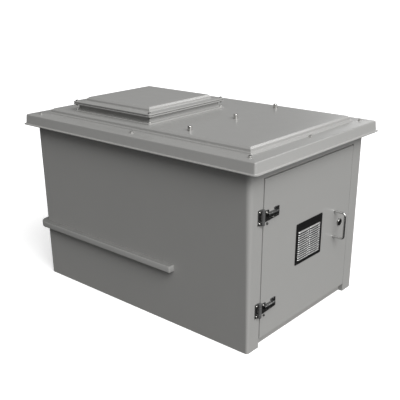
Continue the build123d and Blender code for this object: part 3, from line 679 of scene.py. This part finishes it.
knuckle_r = 7 * mm
leaf_t = 4 * mm
leaf_gap = 8 * mm
leaf_edge = 1.2 * mm
frame_leaf_half = (7 * mm, 30 * mm)
frame_leaf_corner = 2 * mm
link_reach = 6 * mm
link_half_w = 5 * mm
link_corner = 1 * mm
end_knuckle = 16 * mm
running_gap = 0.3 * mm
bar_foot = door_face + leaf_t - 1 * mm
bar_top = door_face + leaf_t + 11 * mm
bar_edge = 4.5 * mm
# Corners and their radii in millimetres, across and up from the pin
leaf_corners = [
    (8, -24, 1.5),
    (28, -24, 6),
    (108, -19, 3),
    (108, 20, 3),
    (77, 20, 3),
    (77, 9, 2),
    (42, 9, 5),
    (42, 20, 4),
    (8, 20, 1.5),
]
bar_corners = [(30, -8, 3), (95, -8, 3), (95, 9, 5), (30, 9, 3)]
leaf_line = rounded(np.array(leaf_corners) * mm)
bar_line = rounded(np.array(bar_corners) * mm, 7)
hinge_levels = {"upper": 550 * mm, "lower": 169 * mm}
for level, hinge_v in hinge_levels.items():
    pin_at = [pin_u, hinge_v]
    low_v, high_v = hinge_v - frame_leaf_half[1], hinge_v + frame_leaf_half[1]
    frame_leaf, barrel = Shell(), Shell()
    leaf_middle = (pin_u - leaf_gap - frame_leaf_half[0], hinge_v)
    frame_leaf.lidded(plate(leaf_middle, frame_leaf_half, frame_leaf_corner, 0.0, leaf_t))
    for knuckle_low in (low_v, high_v - end_knuckle):
        link_at = (pin_u - link_reach, knuckle_low + end_knuckle / 2)
        link_half = (link_half_w, end_knuckle / 2)
        frame_leaf.lidded(plate(link_at, link_half, link_corner, 0.0, leaf_t + 3 * mm))
        barrel.lidded(round_pin(turned((0, 0), knuckle(knuckle_low, knuckle_low + end_knuckle, knuckle_r))))
    frame_node, door_node = f"frame_leaf_{level}", f"door_leaf_{level}"
    frame_leaf.build(f"hinge_frame_plate_{level}", "cabinet", "hinge_black", black_metal, [frame_node])
    barrel.build(f"hinge_barrel_ends_{level}", "cabinet", "hinge_black", barrel_metal)

    door_leaf = Shell()
    door_leaf.lidded(strap(leaf_line + pin_at, door_face, door_face + leaf_t, leaf_edge))
    door_leaf.lidded(strap(bar_line + pin_at, bar_foot, bar_top, bar_edge))
    run_low, run_high = low_v + end_knuckle + running_gap, high_v - end_knuckle - running_gap
    link_half = (link_half_w, (run_high - run_low) / 2)
    link_at = (pin_u + link_reach, hinge_v)
    door_leaf.lidded(plate(link_at, link_half, link_corner, door_face, door_face + leaf_t + 2 * mm))
    door_leaf.build(f"hinge_door_plate_{level}", "door", "hinge_black", black_metal, [door_node])
    middle = Shell()
    middle.lidded(round_pin(turned((0, 0), knuckle(run_low, run_high, knuckle_r))))
    middle.build(f"hinge_barrel_middle_{level}", "door", "hinge_black", barrel_metal)
    pin_node = frame["nodes"][f"hinge_pin_{level}"]
    pin_node.data.materials.clear()
    pin_node.data.materials.append(barrel_metal)

hinge_screw_r = 4.2 * mm
frame_screw_at = (-15 * mm, 22 * mm)
door_screws_at = ((26 * mm, 12 * mm), (67 * mm, -14.5 * mm))
buffer_at = (34 * mm, -34 * mm)
buffer_dome = np.array([(5, 2), (5, 5), (4.6, 6.2), (3.4, 7)]) * mm
frame_screws, door_screws, buffers = Shell(), Shell(), Shell()
for hinge_v in hinge_levels.values():
    for side in (-1, 1):
        screw_v = hinge_v + side * frame_screw_at[1]
        frame_screws.lidded(front_screw(pin_u + frame_screw_at[0], screw_v, leaf_t, hinge_screw_r))
    for across, rise in door_screws_at:
        door_screws.lidded(front_screw(pin_u + across, hinge_v + rise, door_face + leaf_t, hinge_screw_r))
    buffers.lidded(on_front(turned((pin_u + buffer_at[0], hinge_v + buffer_at[1]), buffer_dome, steps=28)))
frame_screws.build("hinge_frame_screws", "cabinet", "stainless", stainless, ["frame_leaf_screws"])
door_screws.build("hinge_door_screws", "door", "stainless", stainless, ["door_leaf_screws"])
buffers.build("hinge_buffer_heads", "door", "hinge_black", black_metal, ["hinge_buffers"])


# Vent: a black moulded plate with two columns of pressed aluminium hoods that
# throw rain off the slots, four small screws, and a fine mesh behind the door.
def moulded_black(name):
    """Black moulded plastic with a fine spark-eroded grain."""
    at, finish = material(name, Specular_IOR_Level=0.35)
    grain = at.noise(900.0, 3.0)
    cloud = at.noise(30.0, 2.0)
    return finish(
        Base_Color=cloud.blend((0.004, 0.004, 0.004), (0.009, 0.009, 0.009)),
        Roughness=(0.30 + grain * 0.12).held(),
        Normal=grain.bump(0.2, 0.0002),
    )


black_plastic = moulded_black("black_plastic")
dress(("black_plastic",), black_plastic)
blade_metal = steel("satin_aluminium", (0.88, 0.88, 0.87), 0.30, 700.0)
vent_v = 361 * mm
vent_half = (96 * mm, 88.5 * mm)
vent_rows = 13
vent_pitch = 9.8 * mm
vent_field = -10.4 * mm
vent_column = 41 * mm
blade_half = 40.2 * mm
plate_top = door_face + 2.5 * mm
plate_corner = 5 * mm
vent = Shell()
vent.lidded(plate((0, vent_v), vent_half, plate_corner, door_face, plate_top))
vent.build("vent_plate", "door", "black_plastic", black_plastic, ["vent_grille"])

across = np.linspace(-1, 1, 25)[:, None]
fall = np.linspace(0, 1, 9)
outer_fall = np.stack([1 - fall, np.sin(fall * pi / 2)], -1)
inner_fall = np.stack([(1 - fall[::-1]) * 0.8, np.sin(fall[::-1] * pi / 2) * 0.78], -1)
hood = np.concatenate([outer_fall, inner_fall])
end_fade = (1 - across**12) ** 0.5 * 0.94 + 0.06
hood_out = 4.2 * mm
hood_sunk = 0.3 * mm
hood_drop = 1.8 * mm
row_hood_h = 3.8 * mm
top_hood_h = 6.4 * mm
blades = Shell()
for column in (-1, 1):
    for row in range(vent_rows):
        hood_h = top_hood_h if row == vent_rows - 1 else row_hood_h
        slot_v = vent_v + vent_field + (row - (vent_rows - 1) / 2) * vent_pitch
        u = column * vent_column + blade_half * across + 0 * hood[None, :, 0]
        v = slot_v - hood_drop + hood_h * hood[None, :, 0] + 0 * across
        w = plate_top - hood_sunk + hood_out * hood[None, :, 1] * end_fade
        blades.lidded(on_front(np.stack([u, v, w], -1)))
blades.build("vent_blades", "door", "stainless", blade_metal)

vent_screw_r = 3.6 * mm
vent_screw_edge = 6.5 * mm
vent_screws = Shell()
for su in (-1, 1):
    for sv in (-1, 1):
        corner_u = su * (vent_half[0] - vent_screw_edge)
        corner_v = vent_v + sv * (vent_half[1] - vent_screw_edge)
        vent_screws.lidded(front_screw(corner_u, corner_v, plate_top, vent_screw_r))
vent_screws.build("vent_screw_heads", "door", "black_plastic", black_plastic, ["vent_screws"])


# Pull handle and lock: a polished round bar bent to a D, a little thicker at
# its feet, and beside it a chrome lock collar round a black plug; the collar's
# chrome is made darker than the handle's, as painted shade for its dark reflections.
chrome = steel("polished_chrome", (0.62, 0.62, 0.61), 0.12, 600.0)
dress(("chrome_bar",), chrome)
handle_u = 200 * mm
handle_v = (310 * mm, 426 * mm)
reach = 50 * mm
bend_r = 14 * mm
bar_r = 5 * mm
arc = np.linspace(0, pi / 2, 15)
stem = np.array([0.0, 1.2, 2.2, 3.2, 5.0, 9.0, 20.0]) * mm
stem_r = np.array([5.8, 5.7, 5.4, 5.1, 5.0, 5.0, 5.0]) * mm
low_arm = np.stack([np.full_like(stem, handle_v[0]), stem], -1)
low_bend = np.stack([handle_v[0] + bend_r * (1 - np.cos(arc)), reach - bend_r * (1 - np.sin(arc))], -1)
half_line = np.concatenate([low_arm, low_bend])
handle_line = np.concatenate([half_line, (half_line * [-1, 1] + [sum(handle_v), 0])[::-1]])
bar_radius = np.concatenate([stem_r, np.full_like(arc, bar_r)])
bar_radius = np.concatenate([bar_radius, bar_radius[::-1]])[:, None]
heading = np.gradient(handle_line, axis=0)
heading /= np.linalg.norm(heading, axis=1)[:, None]
ring = np.linspace(0, 2 * pi, 24, endpoint=False)[None]
bar = np.stack(
    [
        handle_u + bar_radius * np.sin(ring),
        handle_line[:, :1] - heading[:, 1:] * bar_radius * np.cos(ring),
        door_face + handle_line[:, 1:] + heading[:, :1] * bar_radius * np.cos(ring),
    ],
    -1,
)
handle = Shell()
handle.lidded(on_front(bar))
handle.build("pull_handle_bar", "door", "chrome_bar", chrome, ["pull_handle"])

lock_u, lock_v = 240 * mm, 366 * mm
lock_back = -17 * mm
face_r = 12.4 * mm
face_gap = 0.05 * mm
collar_r = 16 * mm
neck_r = 11 * mm
plug_bore = 8.05 * mm
collar = rounded(
    [
        (face_r, door_face, 0.0),
        (collar_r, door_face, 0.0),
        (collar_r, door_face + 5 * mm, 2.5 * mm),
        (13.4 * mm, door_face + 8 * mm, 1.4 * mm),
        (face_r, door_face + 7 * mm, 0.4 * mm),
    ]
)
lock = Shell()
lock.patch(on_front(turned((lock_u, lock_v), collar, 48)), wrap_rows=True, wrap_columns=True)
# A darker copy of the handle's chrome: painted shade for the collar's dark reflections
shade_dark_chrome = steel("shade_dark_chrome", (0.34, 0.34, 0.33), 0.12, 600.0)
lock.build("lock_collar", "door", "chrome_bar", shade_dark_chrome, ["lock_barrel"])

lock_face = rounded(
    [
        (plug_bore, lock_back, 0.0),
        (neck_r, lock_back, 0.0),
        (neck_r, door_face + 1 * mm, 0.0),
        (face_r - face_gap, door_face + 1 * mm, 0.0),
        (face_r - face_gap, door_face + 7.2 * mm, 0.6 * mm),
        (plug_bore, door_face + 7.6 * mm, 0.5 * mm),
    ]
)
core = Shell()
core.patch(on_front(turned((lock_u, lock_v), lock_face, 48)), wrap_rows=True, wrap_columns=True)
core.build("lock_core", "door", "black_plastic", black_plastic)


# Inside and between the mouldings: sponge seals, a woven insect mesh, a
# plywood board on softwood battens.
def sponge(name):
    """Closed-cell rubber: dark, dull and finely pitted."""
    at, finish = material(name)
    cells = at.noise(1100.0, 3.0)
    return finish(
        Base_Color=cells.blend((0.012, 0.012, 0.012), (0.030, 0.030, 0.030)),
        Roughness=(0.62 + cells * 0.25).held(),
        Normal=cells.bump(0.5, 0.0004),
    )


def wood(name, pale, dark, rings_scale):
    """Growth rings as stretched noise folded into bands, with fine pores."""
    at, finish = material(name)
    grain = at.stretched((3.0, 3.0, 0.35)).noise(6.0, 5.0, 0.6)
    bands = (grain * rings_scale).maths("PINGPONG", grain * rings_scale, 1.0)
    pores = at.stretched((1.0, 1.0, 0.05)).noise(420.0, 2.0)
    return finish(
        Base_Color=(bands * 0.7 + pores * 0.3).blend(pale, dark),
        Roughness=(0.42 + pores * 0.25).held(),
        Normal=(bands * 0.4 + pores * 0.6).bump(0.2, 0.0005),
    )


wire_pitch = 1.6 * mm
wire_share = 0.38


def woven(name):
    """Fine wire mesh: round wires in two directions, with open squares between them."""
    at, finish = material(name, Metallic=1.0)
    wires = [at.along(axis) / wire_pitch for axis in (1, 2)]
    solid = [wire.maths("LESS_THAN", wire.maths("FRACT", wire), wire_share) for wire in wires]
    tarnish = at.noise(60.0)
    return finish(
        Base_Color=tarnish.blend((0.10, 0.10, 0.10), (0.22, 0.22, 0.21)),
        Roughness=(0.35 + tarnish * 0.2).held(),
        Alpha=solid[0].maths("MAXIMUM", *solid),
    )


dress(("seal_rubber",), sponge("sponge_rubber"))
dress(("plywood",), wood("birch_plywood", (0.52, 0.38, 0.22), (0.38, 0.25, 0.13), 5.0))
dress(("batten_wood",), wood("planed_softwood", (0.50, 0.36, 0.20), (0.34, 0.22, 0.11), 9.0))
dress(("steel_mesh",), woven("insect_mesh_wire"))


# Floor, light and camera: a white studio with a large soft light high on the
# door side, lower ones round it, and two narrow ones behind that edges mirror.
def seen_by(tree, rays):
    """One for this kind of ray, else zero."""
    path_node = tree.nodes.new("ShaderNodeLightPath")
    return Shade(tree, path_node.outputs[f"Is {rays} Ray"])


floor_mesh = bpy.data.meshes.new("floor")
floor_size = 30.0
floor_drop = 0.0005
floor_square = ((-1, -1), (1, -1), (1, 1), (-1, 1))
floor_corners = [(x * floor_size, y * floor_size, -floor_drop) for x, y in floor_square]
floor_mesh.from_pydata(floor_corners, [], [(0, 1, 2, 3)])
floor = bpy.data.objects.new("floor", floor_mesh)
bpy.context.scene.collection.objects.link(floor)
floor_glow = 0.45
floor_constants = {"Roughness": 0.9, "Specular_IOR_Level": 0.1, "Emission_Strength": floor_glow}
floor_at, floor_finish = material("pale_floor", **floor_constants)
floor_seen = seen_by(floor_at.tree, "Camera")
floor_mirrored = seen_by(floor_at.tree, "Glossy")
floor_unseen = floor_mirrored.blend((0.20, 0.20, 0.20), (0.05, 0.05, 0.05))
floor_look = floor_finish(
    Base_Color=floor_seen.blend(floor_unseen, (0.88, 0.88, 0.88)),
    Emission_Color=floor_seen.blend((0.0, 0.0, 0.0), (1.0, 1.0, 1.0)),
)
floor_mesh.materials.append(floor_look)

world = bpy.data.worlds.new("studio")
bpy.context.scene.world = world
world.use_nodes = True
world_tree = world.node_tree
sky = Shade(world_tree, world_tree.nodes.new("ShaderNodeTexCoord").outputs["Generated"])
sky_seen = seen_by(world_tree, "Camera")
sky_mirrored = seen_by(world_tree, "Glossy") + seen_by(world_tree, "Transmission")
sky_x, sky_y, sky_z = (sky.along(axis) for axis in (0, 1, 2))
# Soft lights of the dome: turn and rise in degrees, narrowness and strength
sky_lights = (
    (-30, 45, 25, 9.3),
    (0, 40, 20, 3.2),
    (-70, 50, 25, 1.85),
    (0, 12, 6, 1.42),
    (45, 12, 6, 0.49),
    (135, 12, 6, 0.11),
    (125, 14, 30, 0.13),
    (112, 12, 200, 3.4),
    (84, 42, 110, 6.0),
)
dome = 0.0
for turn, rise, narrow, strength in sky_lights:
    level = cos(radians(rise))
    facing = sky_x * (level * cos(radians(turn))) + sky_y * (level * sin(radians(turn)))
    facing = facing + sky_z * sin(radians(rise))
    dome = dome + facing.held() ** narrow * strength
sky_sheen = 0.06
background = world_tree.nodes["Background"]
feed(world_tree, background.inputs["Color"], (1.0, 1.0, 1.0))
sky_level = dome + sky_mirrored * sky_sheen
feed(world_tree, background.inputs["Strength"], sky_seen + (1 - sky_seen) * sky_level)


camera_data = bpy.data.cameras.new("camera")
camera_data.sensor_width = 36.0
camera_data.lens = 61.81
camera_place = (1.9857, -2.2514, 1.4183)
camera = bpy.data.objects.new("camera", camera_data)
camera_azimuth, camera_elevation, camera_roll = radians(41.10), radians(18.81), radians(-0.49)
camera.matrix_world = (
    Matrix.Translation(camera_place)
    @ Matrix.Rotation(camera_azimuth, 4, "Z")
    @ Matrix.Rotation(pi / 2 - camera_elevation, 4, "X")
    @ Matrix.Rotation(camera_roll, 4, "Z")
)
bpy.context.scene.collection.objects.link(camera)
bpy.context.scene.camera = camera
bpy.context.scene.view_settings.view_transform = "Standard"
